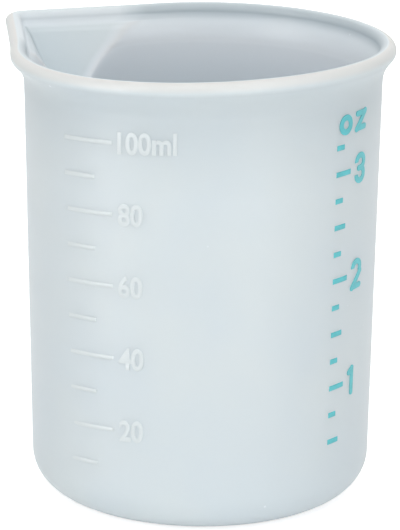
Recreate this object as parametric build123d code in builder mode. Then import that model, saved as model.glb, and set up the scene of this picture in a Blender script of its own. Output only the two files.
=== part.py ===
from build123d import *
import os
from math import acos, asin, atan2, copysign, cos, degrees, pi, radians, sin, tan

# Resin mixing cup, moulded in translucent silicone, with a pouring spout.
# Millimetres. The origin is the centre of the base's underside, +Z is up, the spout points
# to -X, the moulded millilitre scale faces -Y and the printed ounce scale faces +X.

# Driving dimensions of the moulding
centimetre = 10.0           # a millilitre is a cube of this edge
base_radius = 25.3          # the outer wall's line carried down to the table
draft_angle = 0.92          # how far the wall leans out, in degrees
wall = 1.7
floor_thickness = 3.3
corner_radius = 5.4         # outside, between the floor and the wall
freeboard = 9.65            # from the top mark to the top of the rim
rim_radius = 28.2           # outside of the bead
bead_radius = 1.2
flare_angle = 45.0          # how far the flare turns towards the bead, in degrees
overrun = 2.0               # how far cutting shapes run past what they cut

# The spout
spout_reach = 8.3           # how far the tip stands out past the bead
tip_radius = 2.6            # outside of the bead at the tip
valley_radius = 0.45        # the inside of the crease that the liquid runs down
flank_thickness = 1.95      # the spout's wall, measured level
root_depth = 20.0           # from the rim down to where the spout's planes start
root_setback = 0.9          # how far inside the wall they start
root_heel = 15.0            # how far from the cup's axis the planes start
root_half_angle = 87.0      # between the spout's axis and each plane's normal there, in degrees

# The moulded millilitre scale
capacity_ml = 100
mark_step_ml = 10
ml_scale_bearing = 257.4    # of the ticks' left ends, in degrees
long_tick_sweep = 19.5      # in degrees
short_tick_sweep = 12.9     # in degrees
tick_height = 0.5
mark_relief = 0.35
numeral_sweep_gap = 2.0     # in degrees, from a long tick's right end to its number
numeral_height = 3.3
numeral_width = 1.95
numeral_stroke = 0.62
numeral_gap = 0.5

# The printed fluid-ounce scale
ounce_ml = 29.5735
ounce_parts = 4
first_ounce_part = 2
last_ounce_part = 13
ounce_scale_bearing = 1.0   # of the printed column's middle, in degrees
print_thickness = 0.1
print_tick_height = 0.8
whole_tick_length = 3.3
half_tick_length = 2.4
quarter_tick_length = 1.6
ounce_numeral_gap = 1.1
ounce_numeral_height = 4.6
ounce_numeral_width = 3.0
ounce_numeral_stroke = 0.85
ounce_unit_height = 3.0
ounce_unit_gap = 0.9
ounce_unit_rise = 3.2       # from the top tick to the unit's middle

# How the numbers and letters are drawn, as shares of their width and height
narrow_share = 0.55         # the widths of 1 and l beside a full one
wide_share = 1.6            # the width of m
small_letter_share = 0.74   # the height of m beside l
bowl_share = 0.6            # the height of a bowl in 2, 3, 6 and 8
bar_share = 0.22            # how low the bar of 4 lies below the middle
stem_share = 0.16           # how far right the stem of 4 stands
flag_share = 0.26           # how far the flag of 1 drops

os.makedirs("parts", exist_ok=True)

# The wall's line and the volume that the cup holds
slope = tan(radians(draft_angle))
inner_base_radius = base_radius - wall / cos(radians(draft_angle))
inner_corner_radius = corner_radius - wall
inner_floor_radius = inner_base_radius + slope * floor_thickness
corner_area = (1 - pi / 4) * inner_corner_radius ** 2
corner_centroid_share = 0.2234
corner_loss = 2 * pi * corner_area * (inner_floor_radius - corner_centroid_share * inner_corner_radius)


def outer_radius(z):
    return base_radius + slope * z


def inner_radius(z):
    return inner_base_radius + slope * z


def fill_height(millilitres):
    """The height of the surface when the cup holds this much: a cone's frustum less the corner."""
    volume = millilitres * centimetre ** 3 + corner_loss
    radius_cubed = inner_floor_radius ** 3 + 3 * slope * volume / pi
    return (radius_cubed ** (1 / 3) - inner_base_radius) / slope


height = fill_height(capacity_ml) + freeboard

# The rim's bead and the flare below it, which turns from the wall to the bead on one arc
bead_z = height - bead_radius
bead_path_radius = rim_radius - bead_radius
turn = copysign(radians(flare_angle), rim_radius - outer_radius(height))
lean = radians(draft_angle)
flare_end_radius = bead_path_radius + bead_radius * cos(turn)
flare_end_z = bead_z - bead_radius * sin(turn)
flare_arc_radius = (flare_end_radius - outer_radius(flare_end_z)) / (
    cos(lean) - cos(turn) - slope * (sin(turn) - sin(lean))
)
flare_start_z = flare_end_z - flare_arc_radius * (sin(turn) - sin(lean))
flare_center_x = outer_radius(flare_start_z) + flare_arc_radius * cos(lean)
flare_center_z = flare_start_z - flare_arc_radius * sin(lean)


def flare_point(radius, angle):
    return (flare_center_x - radius * cos(angle), flare_center_z + radius * sin(angle))


def wall_radius(z):
    """The outside of the wall, which follows the flare above the flare's start."""
    if z < flare_start_z:
        return outer_radius(z)
    return flare_point(flare_arc_radius, asin((z - flare_center_z) / flare_arc_radius))[0]


inner_flare_radius = flare_arc_radius + wall
mid_turn = (turn + lean) / 2

# The spout's plan: a round tip on the spout's axis, joined to the rim by two tangent lines
tip_path_radius = tip_radius - bead_radius
tip_center = rim_radius + spout_reach - tip_radius
half_angle = degrees(acos((bead_path_radius - tip_path_radius) / tip_center))
root_z = height - root_depth
root_center = inner_radius(root_z) - valley_radius - root_setback


def spout_plane(z):
    """A level plane whose X points along the spout."""
    return Plane(origin=(0, 0, z), x_dir=(-1, 0, 0), z_dir=(0, 0, 1))


def spout_section(z, center, radius, angle, heel):
    """A wedge's level section: an arc round the tip, its two tangent lines and a straight heel."""
    normal = radians(angle)
    tangent = (center + radius * cos(normal), radius * sin(normal))
    heel_half = (radius + (center - heel) * cos(normal)) / sin(normal)
    with BuildSketch(spout_plane(z)) as section:
        with BuildLine():
            CenterArc((center, 0), radius, -angle, 2 * angle)
            Line(tangent, (heel, heel_half))
            Line((heel, heel_half), (heel, -heel_half))
            Line((heel, -heel_half), (tangent[0], -tangent[1]))
        make_face()
    return section.sketch


def spout_wedge(radius, rim_heights):
    """Level sections from the spout's root to the rim, with this radius down the valley."""
    rim_heel = (radius + tip_center * cos(radians(half_angle))) * cos(radians(half_angle))
    sections = [spout_section(root_z, root_center, radius, root_half_angle, root_heel)]
    for z in rim_heights:
        sections.append(spout_section(z, tip_center, radius, half_angle, rim_heel))
    return sections


# Outer form, then the inside of the cup and of the spout, then the bead round both
with BuildPart() as cup_body:
    with BuildSketch(Plane.XZ):
        with BuildLine():
            corner_start = (outer_radius(corner_radius) - corner_radius, 0)
            Line((0, 0), corner_start)
            RadiusArc(corner_start, (outer_radius(corner_radius), corner_radius), -corner_radius)
            Line((outer_radius(corner_radius), corner_radius), flare_point(flare_arc_radius, lean))
            ThreePointArc(
                flare_point(flare_arc_radius, lean),
                flare_point(flare_arc_radius, mid_turn),
                flare_point(flare_arc_radius, turn),
            )
            Polyline(
                flare_point(flare_arc_radius, turn),
                flare_point(inner_flare_radius, turn),
                (0, flare_point(inner_flare_radius, turn)[1]),
                (0, 0),
            )
        make_face()
    revolve(axis=Axis.Z)

    loft(spout_wedge(valley_radius + flank_thickness, [bead_z]), ruled=True)

    with BuildSketch(Plane.XZ):
        with BuildLine():
            inner_corner_z = floor_thickness + inner_corner_radius
            inner_corner_start = (inner_radius(inner_corner_z) - inner_corner_radius, floor_thickness)
            inner_corner_end = (inner_radius(inner_corner_z), inner_corner_z)
            Line((0, floor_thickness), inner_corner_start)
            RadiusArc(inner_corner_start, inner_corner_end, -inner_corner_radius)
            Line(inner_corner_end, flare_point(inner_flare_radius, lean))
            ThreePointArc(
                flare_point(inner_flare_radius, lean),
                flare_point(inner_flare_radius, mid_turn),
                flare_point(inner_flare_radius, turn),
            )
            Polyline(
                flare_point(inner_flare_radius, turn),
                (flare_point(inner_flare_radius, turn)[0], height + overrun),
                (0, height + overrun),
                (0, floor_thickness),
            )
        make_face()
    revolve(axis=Axis.Z, mode=Mode.SUBTRACT)

    loft(spout_wedge(valley_radius, [bead_z, height + overrun]), ruled=True, mode=Mode.SUBTRACT)

    with BuildLine(spout_plane(bead_z)) as rim_line:
        rim_arc = CenterArc((0, 0), bead_path_radius, half_angle, 360 - 2 * half_angle)
        tip_arc = CenterArc((tip_center, 0), tip_path_radius, -half_angle, 2 * half_angle)
        Line(tip_arc @ 1, rim_arc @ 0)
        Line(rim_arc @ 1, tip_arc @ 0)
    with BuildSketch(Plane(origin=rim_line.wires()[0] @ 0, z_dir=rim_line.wires()[0] % 0)):
        Circle(bead_radius)
    sweep(path=rim_line.wires()[0])

cup_body.part.label = "cup_body"
export_step(cup_body.part, "parts/cup_body.step")


def wall_skin(thickness):
    """A layer of even thickness on the outside of the wall, from the corner up over the flare."""
    skin_arc_radius = flare_arc_radius - thickness
    with BuildPart() as skin:
        with BuildSketch(Plane.XZ):
            with BuildLine():
                Line((outer_radius(corner_radius), corner_radius), flare_point(flare_arc_radius, lean))
                ThreePointArc(
                    flare_point(flare_arc_radius, lean),
                    flare_point(flare_arc_radius, mid_turn),
                    flare_point(flare_arc_radius, turn),
                )
                Line(flare_point(flare_arc_radius, turn), flare_point(skin_arc_radius, turn))
                ThreePointArc(
                    flare_point(skin_arc_radius, turn),
                    flare_point(skin_arc_radius, mid_turn),
                    flare_point(skin_arc_radius, lean),
                )
                Polyline(
                    flare_point(skin_arc_radius, lean),
                    (outer_radius(corner_radius) + thickness / cos(lean), corner_radius),
                    (outer_radius(corner_radius), corner_radius),
                )
            make_face()
        revolve(axis=Axis.Z)
    return skin.part


moulded_skin = wall_skin(mark_relief)
printed_skin = wall_skin(print_thickness)


def facing_plane(bearing, z, depth):
    """An upright plane this deep under the wall's outside, with X to the reader's right."""
    angle = radians(bearing)
    outward = Vector(cos(angle), sin(angle), 0)
    origin = outward * (wall_radius(z) - depth) + Vector(0, 0, z)
    return Plane(origin, x_dir=(-sin(angle), cos(angle), 0), z_dir=outward)


def section_plane(bearing):
    """An upright plane whose X points out along a bearing and whose Y is up."""
    angle = radians(bearing)
    return Plane(origin=(0, 0, 0), x_dir=(cos(angle), sin(angle), 0), z_dir=(sin(angle), -cos(angle), 0))


def sweep_of(length, z):
    """The sweep in degrees that a length takes round the wall at a height."""
    return degrees(length / wall_radius(z))


def tick_row(heights, bearing, sweep_at, skin, tick):
    """Bars of the skin that lie round the wall, each with its left end at the bearing."""
    with BuildPart() as ticks:
        for z in heights:
            with BuildSketch(section_plane(bearing(z))):
                with Locations((wall_radius(z), z)):
                    Rectangle(wall, tick)
            revolve(axis=Axis.Z, revolution_arc=sweep_at(z))
        add(skin, mode=Mode.INTERSECT)
    return ticks


def stroke_between(start, end, stroke):
    """A round-ended stroke whose ends reach the two points."""
    run = (Vector(*end) - Vector(*start))
    angle = degrees(atan2(run.Y, run.X))
    with Locations(((start[0] + end[0]) / 2, (start[1] + end[1]) / 2)):
        SlotOverall(run.length, stroke, rotation=angle)


def bowl(width, height, stroke, middle=0):
    """A ring that stands on the glyph's middle line or off it."""
    with Locations((0, middle)):
        Ellipse(width / 2, height / 2)
        Ellipse(width / 2 - stroke, height / 2 - stroke, mode=Mode.SUBTRACT)


def clear_box(left, right, low, high):
    with Locations(((left + right) / 2, (low + high) / 2)):
        Rectangle(right - left, high - low, mode=Mode.SUBTRACT)


def draw_glyph(glyph, width, height, stroke):
    """Draws one number or letter about the origin in the sketch that is open."""
    left, right, foot, top = -width / 2, width / 2, -height / 2, height / 2
    bowl_height = height * bowl_share
    upper = top - bowl_height / 2
    lower = foot + bowl_height / 2
    if glyph == "0" or glyph == "o":
        bowl(width, height, stroke)
    elif glyph == "1":
        stroke_between((right - stroke / 2, foot), (right - stroke / 2, top), stroke)
        stroke_between((left, top - height * flag_share), (right, top - stroke / 4), stroke)
    elif glyph == "2":
        bowl(width, bowl_height, stroke, upper)
        clear_box(left, 0, foot, upper)
        clear_box(0, right, foot, upper - stroke / 2)
        stroke_between((left, foot), (right, upper - stroke / 2), stroke)
        stroke_between((left, foot + stroke / 2), (right, foot + stroke / 2), stroke)
    elif glyph == "3":
        bowl(width, bowl_height, stroke, upper)
        bowl(width, bowl_height, stroke, lower)
        clear_box(left, 0, lower, upper)
        stroke_between((-stroke, 0), (stroke, 0), stroke)
    elif glyph == "4":
        bar = -height * bar_share
        stem = width * stem_share
        stroke_between((stem + stroke / 2, foot), (stem + stroke / 2, top), stroke)
        stroke_between((left, bar), (right, bar), stroke)
        stroke_between((left, bar - stroke / 2), (stem + stroke, top), stroke)
    elif glyph == "6":
        bowl(width, height, stroke)
        clear_box(0, right, lower, upper)
        bowl(width, bowl_height, stroke, lower)
    elif glyph == "8":
        bowl(width, bowl_height, stroke, upper)
        bowl(width, bowl_height, stroke, lower)
        bowl(width, bowl_height, stroke, upper)
    elif glyph == "l":
        stroke_between((0, foot), (0, top), stroke)
    elif glyph == "z":
        stroke_between((left, top - stroke / 2), (right, top - stroke / 2), stroke)
        stroke_between((left, foot + stroke / 2), (right, foot + stroke / 2), stroke)
        stroke_between((left, foot), (right, top), stroke)
    elif glyph == "m":
        small_top = foot + height * small_letter_share
        arch = (width + stroke) / 2
        for middle in (left + arch / 2, right - arch / 2):
            with Locations((middle, small_top - arch / 2)):
                Circle(arch / 2)
                Circle(arch / 2 - stroke, mode=Mode.SUBTRACT)
        clear_box(left, right, foot, small_top - arch / 2)
        for leg in (left + stroke / 2, 0, right - stroke / 2):
            stroke_between((leg, foot), (leg, small_top - stroke / 2), stroke)


def glyph_width(glyph, width):
    if glyph in "1l":
        return width * narrow_share
    if glyph == "m":
        return width * wide_share
    return width


def lettering(text, bearing, z, skin, width, height, stroke, gap):
    """A line of glyphs that reads round the wall, the first with its left edge at the bearing."""
    depth = (height + wall) / 2
    with BuildPart() as line:
        reach = 0
        for glyph in text:
            own_width = glyph_width(glyph, width)
            middle = bearing + sweep_of(reach + own_width / 2, z)
            with BuildSketch(facing_plane(middle, z, depth)):
                draw_glyph(glyph, own_width, height, stroke)
            extrude(amount=2 * depth)
            reach += own_width + gap
        add(skin, mode=Mode.INTERSECT)
    return line


# The moulded scale: a long tick and a number at every second mark, a short tick between
long_marks = [fill_height(mark) for mark in range(2 * mark_step_ml, capacity_ml + 1, 2 * mark_step_ml)]
short_marks = [fill_height(mark) for mark in range(mark_step_ml, capacity_ml, 2 * mark_step_ml)]

long_ticks = tick_row(
    long_marks, lambda z: ml_scale_bearing, lambda z: long_tick_sweep, moulded_skin, tick_height
)
long_ticks.part.label = "long_ticks"
export_step(long_ticks.part, "parts/long_ticks.step")

short_ticks = tick_row(
    short_marks, lambda z: ml_scale_bearing, lambda z: short_tick_sweep, moulded_skin, tick_height
)
short_ticks.part.label = "short_ticks"
export_step(short_ticks.part, "parts/short_ticks.step")

numeral_bearing = ml_scale_bearing + long_tick_sweep + numeral_sweep_gap
for mark in range(2 * mark_step_ml, capacity_ml + 1, 2 * mark_step_ml):
    unit = "ml" if mark == capacity_ml else ""
    numeral = lettering(
        f"{mark}{unit}", numeral_bearing, fill_height(mark), moulded_skin,
        numeral_width, numeral_height, numeral_stroke, numeral_gap,
    )
    numeral.part.label = f"numeral_{mark}{unit}"
    export_step(numeral.part, f"parts/numeral_{mark}{unit}.step")

# The printed scale: ticks at quarter ounces, longest at the whole ones, which carry numbers
column_width = whole_tick_length + ounce_numeral_gap + ounce_numeral_width


def ounce_height(part):
    return fill_height(ounce_ml * part / ounce_parts)


def column_bearing(z):
    return ounce_scale_bearing - sweep_of(column_width / 2, z)


printed_parts = range(first_ounce_part, last_ounce_part + 1)
whole_parts = [part for part in printed_parts if part % ounce_parts == 0]
half_parts = [part for part in printed_parts if part % ounce_parts == ounce_parts / 2]
quarter_parts = [part for part in printed_parts if part % 2]
printed_rows = {
    "whole_ounce_ticks": (whole_parts, whole_tick_length),
    "half_ounce_ticks": (half_parts, half_tick_length),
    "quarter_ounce_ticks": (quarter_parts, quarter_tick_length),
}
for name, (parts, length) in printed_rows.items():
    ticks = tick_row(
        [ounce_height(part) for part in parts], column_bearing, lambda z: sweep_of(length, z),
        printed_skin, print_tick_height,
    )
    ticks.part.label = name
    export_step(ticks.part, f"parts/{name}.step")

for part in whole_parts:
    z = ounce_height(part)
    ounces = part // ounce_parts
    numeral = lettering(
        f"{ounces}", column_bearing(z) + sweep_of(whole_tick_length + ounce_numeral_gap, z), z,
        printed_skin, ounce_numeral_width, ounce_numeral_height, ounce_numeral_stroke, ounce_unit_gap,
    )
    numeral.part.label = f"ounce_numeral_{ounces}"
    export_step(numeral.part, f"parts/ounce_numeral_{ounces}.step")

unit_z = ounce_height(last_ounce_part) + ounce_unit_rise
unit_bearing = ounce_scale_bearing - sweep_of(ounce_numeral_width + ounce_unit_gap / 2, unit_z)
ounce_unit = lettering(
    "oz", unit_bearing, unit_z, printed_skin,
    ounce_numeral_width, ounce_unit_height, ounce_numeral_stroke, ounce_unit_gap,
)
ounce_unit.part.label = "ounce_unit"
export_step(ounce_unit.part, "parts/ounce_unit.step")
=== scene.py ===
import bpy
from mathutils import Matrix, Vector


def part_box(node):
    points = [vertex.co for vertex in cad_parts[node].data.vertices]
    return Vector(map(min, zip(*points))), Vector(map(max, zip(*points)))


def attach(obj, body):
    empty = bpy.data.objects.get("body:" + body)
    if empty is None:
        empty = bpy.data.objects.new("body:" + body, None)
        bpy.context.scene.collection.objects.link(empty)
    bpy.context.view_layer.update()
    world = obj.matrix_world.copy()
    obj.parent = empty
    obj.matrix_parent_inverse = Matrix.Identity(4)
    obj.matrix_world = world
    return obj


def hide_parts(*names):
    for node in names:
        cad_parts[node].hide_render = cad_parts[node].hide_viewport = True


bl_info = {
    "name": "Resin Mixing Cup",
    "version": (1, 0, 0),
    "blender": (4, 5, 0),
    "location": "3D View > Sidebar > Mixing Cup",
    "description": "Moulds a silicone cup for mixing resin, with its scales and a stage",
    "category": "Add Mesh",
}

from math import acos, atan2, cos, degrees, pi, radians, sin, tan

import bpy
from bpy.props import FloatProperty, FloatVectorProperty, IntProperty, PointerProperty
from mathutils import Matrix, Vector

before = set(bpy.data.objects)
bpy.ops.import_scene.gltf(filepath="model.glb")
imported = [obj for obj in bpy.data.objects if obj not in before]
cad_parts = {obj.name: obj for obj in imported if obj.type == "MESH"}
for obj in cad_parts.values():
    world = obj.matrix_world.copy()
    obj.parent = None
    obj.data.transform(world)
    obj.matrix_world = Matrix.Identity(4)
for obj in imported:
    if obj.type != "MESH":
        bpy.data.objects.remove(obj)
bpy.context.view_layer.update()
CUP_LOW, CUP_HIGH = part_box("cup_body")
MM = 0.001
MILLILITRE = 1e-6               # in cubic metres
OUNCE = 29.5735 * MILLILITRE
OUNCE_PARTS = 4                 # the print marks quarter ounces
CAPITAL_SHARE = 0.7             # a capital's height in Blender's own font, of its size
CORNER_CENTROID_SHARE = 0.2234  # of a fillet's radius, from its corner to the centroid of what it fills
HANDLE_SHARE = 0.42             # of the fillet's span, for its two tangents
GAP_CLOSING = 1.6               # how fast the spout's fillet draws in to the valley line
# Near the valley line the creases get a painted highlight and painted shade
NO_GAP = 0.1 * MM               # rows nearer to the valley line than this have the creases' tones
LEAST_FACING = 0.01             # keeps a flank's distance finite where a ray runs along it
WELD = 1e-6                     # metres between points that become one
WANDER_SCALE = 45.0             # the wall's unevenness, in swells per metre

# Rows of the section in each of its stretches
FLOOR_ROWS = 6
CORNER_ROWS = 12
LOW_WALL_ROWS = 22              # below the spout
HIGH_WALL_ROWS = 40             # along the spout
FLARE_ROWS = 14
BEAD_ROWS = 34
FILLET_ROWS = 12
INNER_FLARE_ROWS = 16
INNER_CORNER_ROWS = 10

# Painted light and shade in the silicone's colour: 1 is the pale colour painted where light falls (the thick
# bead is partly paler too), -1 the grey one painted where shade falls
# Outside, painted shade under the rim's flare; inside, painted shade in the fillet under the bead and down
# the inner wall
WALL_PAINTED_SHADE = ((0.74, 0.0), (0.9, -0.4), (0.96, -0.3))       # by share of the height, outside
FILLET_PAINTED_SHADE = ((0.0, -0.5), (0.6, -0.2), (1.0, -0.1))      # by share of the fillet, inside
INSIDE_PAINTED_SHADE = ((0.82, -0.5), (0.94, 0.0))                  # by share of the height, inside
# By degrees round the bead, from its outer side over the top: painted shade on its lower outer side, painted
# light on its top, painted shade on its inner side
BEAD_PAINTED_LIGHT_AND_SHADE = ((-45, -0.4), (-15, -0.1), (20, 0.7), (80, 1.0), (98, -0.5), (130, -1.0), (180, -0.8))
# Painted light: how far the inside is painted paler, as if lit through the walls, by rows from the top of
# the lip
CUP_LIT = ((0, 0.0), (40, 1.0))
# On the spout, the painted light also brightens the bead's inner side, where shade falls
SPOUT_LIT = ((2, 0.0), (6, 0.2), (10, 0.45), (17, 0.45), (21, 0.05), (30, 0.1))

# Sizes of what the finishes show
CLOUD_SIZE = 15 * MM
AIR_SPACING = 7 * MM
SATIN_GRAIN = 0.5 * MM
INK_PATCH = 1.5 * MM
LIGHT_DEPTH = 4.5 * MM          # how far light scatters in the wall

TICK_POINTS = (50, 9, 2)        # along a tick, across it and through it
END_SHARPNESS = 30.0            # how square a tick's ends are
SLANT_SHARE = 0.6               # of a tick, over which it rises from its left end

FLOOR_REACH = 3.0               # metres
FLOOR_DROP = 0.02 * MM          # under the cup, so that the two faces don't coincide
FLOOR_GLOW = 0.7                # brings the floor that the camera sees to white
SKY_LIGHT = 0.5                 # of white, for what the sky lights
LAMP_DISTANCE = 1.0             # metres

MATH = "ShaderNodeMath"
COLOUR_A, COLOUR_B, COLOUR_OUT = 6, 7, 2                    # sockets of a Mix node for colours
WALL_INPUTS = ("Base Radius", "Slope", "Reference Radius", "Bearing", "Lean", "Pivot")
SOCKET_KINDS = {
    "Geometry": "NodeSocketGeometry",
    "Columns": "NodeSocketInt",
    "Material": "NodeSocketMaterial",
}
# What each row of the section hands on to its points round the cup
CARRIED = (
    "tip_reach", "tip_radius", "flank_angle", "crease", "row_painted_shading", "inside", "fading", "lit", "spout_lit",
)


def linear(hex_colour):
    """An sRGB hex colour as linear red, green, blue and alpha."""
    channels = [int(hex_colour[i:i + 2], 16) / 255 for i in (1, 3, 5)]
    return tuple(c / 12.92 if c <= 0.04045 else ((c + 0.055) / 1.055) ** 2.4 for c in channels) + (1.0,)


def length(name, millimetres, description):
    return FloatProperty(
        name=name, description=description, default=millimetres * MM, unit="LENGTH", precision=5
    )


def number(name, value, description):
    return FloatProperty(name=name, description=description, default=value)


def angle(name, in_degrees, description):
    return FloatProperty(name=name, description=description, default=radians(in_degrees), subtype="ANGLE")


def colour(name, hex_colour, description):
    return FloatVectorProperty(
        name=name, description=description, default=linear(hex_colour), size=4, subtype="COLOR", min=0, max=1
    )


class MouldingSettings(bpy.types.PropertyGroup):
    """Sizes of the silicone moulding"""
    height: length("Height", CUP_HIGH.z / MM, "From the table to the top of the rim")
    rim_radius: length("Rim radius", CUP_HIGH.x / MM, "To the outside of the bead")
    spout_length: length("Spout length", -CUP_LOW.x / MM, "From the cup's axis to the tip")
    base_radius: length("Base radius", 25.3, "The wall's outer line carried down to the table")
    draft: angle("Draft", 0.92, "How far the wall leans out")
    wall: length("Wall", 1.7, "Thickness of the wall")
    floor: length("Floor", 3.3, "Thickness of the floor")
    corner_radius: length("Corner radius", 5.4, "Outside, between the floor and the wall")
    bead_radius: length("Bead radius", 1.2, "Of the round lip")
    run_out: length("Run-out", 1.6, "Of the fillet between the bead and the flare inside")
    flare_angle: angle("Flare angle", 45.0, "How far the wall has turned out where it meets the bead")
    tip_radius: length("Tip radius", 3.1, "Outside of the bead at the spout's tip")
    valley_radius: length("Valley radius", 0.45, "Inside of the spout's crease")
    flank_thickness: length("Flank thickness", 2.45, "The spout's wall, measured level")
    pinch: angle("Pinch", 0.8, "How far the spout's sides close in from the rim's tangents")
    bead_stand_out: length("Bead stand-out", 0.15, "How far the bead shifts outward along the spout")
    root_depth: length("Root depth", 20.0, "From the rim down to where the spout starts")
    root_setback: length("Root setback", 0.9, "How far inside the wall the spout starts")
    root_heel: length("Root heel", 15.0, "From the cup's axis to the far end of the spout's planes")
    root_half_angle: angle("Root half angle", 87.0, "Between the spout's axis and each plane's normal")
    crease: length("Crease softness", 0.25, "Rounding where the spout meets the wall")
    # Painted highlight along the spout's edge with the wall, and painted shade along its valley line
    line_width: length("Line width", 0.35, "Half the width of the tones along the spout's creases")
    painted_highlight_line: number("Pale line", 0.5, "Tone along the spout's edge with the wall")
    painted_shade_line: number("Dark line", 0.7, "Tone along the spout's valley")
    # Over this width the painted shade under the rim ends at the spout
    fade: length("Fade", 1.0, "Over which the tone under the rim ends at the spout")
    columns: IntProperty(name="Columns", description="Faces round the cup", default=340, min=24)
    crowding: number("Crowding", 0.8, "How much closer columns are at the spout")
    sag: length("Sag", 0.23, "How far the whole soft rim has sunk")
    tilt: length("Tilt", 0.51, "How far the soft rim has risen at its high side")
    tilt_bearing: angle("Tilt bearing", 35.0, "Of the high side")
    saddle: length("Saddle", 0.26, "How far the soft rim bends up at two opposite places")
    saddle_bearing: angle("Saddle bearing", -28.0, "Of one of those places")
    spread: length("Spread", 0.1, "How far the whole soft rim has opened")
    oval: length("Oval", 0.14, "How far the soft rim bulges at two opposite places")
    oval_bearing: angle("Oval bearing", 101.0, "Of one of those places")
    soft_depth: length("Soft depth", 9.0, "How far below the rim the softness starts")
    unevenness: length("Unevenness", 0.05, "How far the wall wanders from its true form")


class RaisedScaleSettings(bpy.types.PropertyGroup):
    """The millilitre scale that the mould forms"""
    bearing: angle("Bearing", 257.4, "Of the ticks' left ends, anticlockwise from +X")
    long_sweep: angle("Long tick", 19.5, "Sweep of a long tick")
    short_sweep: angle("Short tick", 12.9, "Sweep of a short tick")
    tick_height: length("Tick height", 0.62, "Across a tick")
    relief: length("Relief", 0.09, "How far the marks stand out")
    sink: length("Sink", 0.2, "How far the marks reach into the wall")
    left_relief: number("Left relief", -0.15, "Share of the relief at a tick's left end")
    dome: number("Dome", 2.0, "How flat a tick's face is before it falls off")
    numeral_gap: angle("Number gap", 2.0, "From a long tick to its number")
    numeral_height: length("Number height", 3.3, "Of the numbers")
    width_share: number("Width share", 0.88, "Of the font's own width")
    boldness: length("Boldness", 0.09, "Added all round the font's strokes")
    lean: number("Lean", 0.06, "Rise of the marks to the right, by length")
    pitch: number("Pitch", 0.985, "Share of the filled heights' spacing")
    capacity: IntProperty(name="Capacity", description="Top mark in millilitres", default=100)
    step: IntProperty(name="Step", description="Millilitres from mark to mark", default=10)


class PrintedScaleSettings(bpy.types.PropertyGroup):
    """The fluid-ounce scale that is printed on"""
    bearing: angle("Bearing", 1.0, "Of the printed column's middle")
    film: length("Film", 0.1, "Thickness of the ink")
    tick_height: length("Tick height", 0.8, "Across a tick")
    whole_length: length("Whole tick", 3.3, "Length at whole ounces")
    half_length: length("Half tick", 2.4, "Length at half ounces")
    quarter_length: length("Quarter tick", 1.6, "Length at quarter ounces")
    dome: number("Dome", 8.0, "How flat a tick's face is before it falls off")
    numeral_gap: length("Number gap", 1.1, "From a whole tick to its number")
    numeral_width: length("Number width", 3.0, "Of the numbers")
    first_part: IntProperty(name="First part", description="Lowest tick, in quarter ounces", default=2)
    last_part: IntProperty(name="Last part", description="Highest tick, in quarter ounces", default=13)


class FinishSettings(bpy.types.PropertyGroup):
    """Colours of the cup, with its painted light and shade, and of what it stands on"""
    silicone: colour("Silicone", "#D8E1E4", "The milky wall")
    silicone_deep: colour("Deep silicone", "#D5DFE4", "Cooler patches of the wall")
    # Painted highlight: the bead's top is painted paler where light falls on it, its thick silicone partly
    # paler too
    silicone_painted_highlight: colour("Pale silicone", "#D7D7D4", "The top of the bead")
    # Painted shade: under the rim, in the creases inside and on the bead's inner side
    silicone_painted_shade: colour("Grey silicone", "#BCC6CB", "Under the rim and inside the bead")
    # Painted light: inside, where light would come through the walls; also the colour of the air specks
    silicone_lit: colour("Lit silicone", "#F0F6FC", "Inside, where light comes through the walls")
    marks: colour("Marks", "#DDE5E7", "The raised marks")
    ink: colour("Ink", "#5CC4CC", "The teal print")
    floor: colour("Floor", "#E9E9E9", "The table")


class StageSettings(bpy.types.PropertyGroup):
    """Where the camera stands and how the stage is lit"""
    azimuth: angle("Azimuth", 36.0, "Of the camera, round the cup")
    elevation: angle("Elevation", 16.6252, "Of the camera, above the horizon")
    distance: length("Distance", 463.95, "From the cup's axis to the camera")
    target_height: length("Target height", 33.583, "Of the point that the camera looks at")
    target_shift: length("Target shift", -0.248, "Of that point, to the camera's right")
    roll: angle("Roll", 0.504, "Of the camera about its line of sight")
    focal_pixels: number("Focal length", 3104.8, "In pixels of the picture")
    picture_height: IntProperty(name="Picture height", description="In pixels", default=530)


SETTINGS = {
    "cup_moulding": MouldingSettings,
    "cup_raised_scale": RaisedScaleSettings,
    "cup_printed_scale": PrintedScaleSettings,
    "cup_finish": FinishSettings,
    "cup_stage": StageSettings,
}


def between(pairs, at):
    """Reads a value off a row of places and values, in a straight line between two places."""
    last_place, last_value = pairs[0]
    for place, value in pairs[1:]:
        if at < place:
            share = max(at - last_place, 0) / (place - last_place)
            return last_value + (value - last_value) * share
        last_place, last_value = place, value
    return last_value


def spread(low, high, count):
    """Evenly spaced values with both ends."""
    return [low + (high - low) * i / (count - 1) for i in range(count)]


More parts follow.
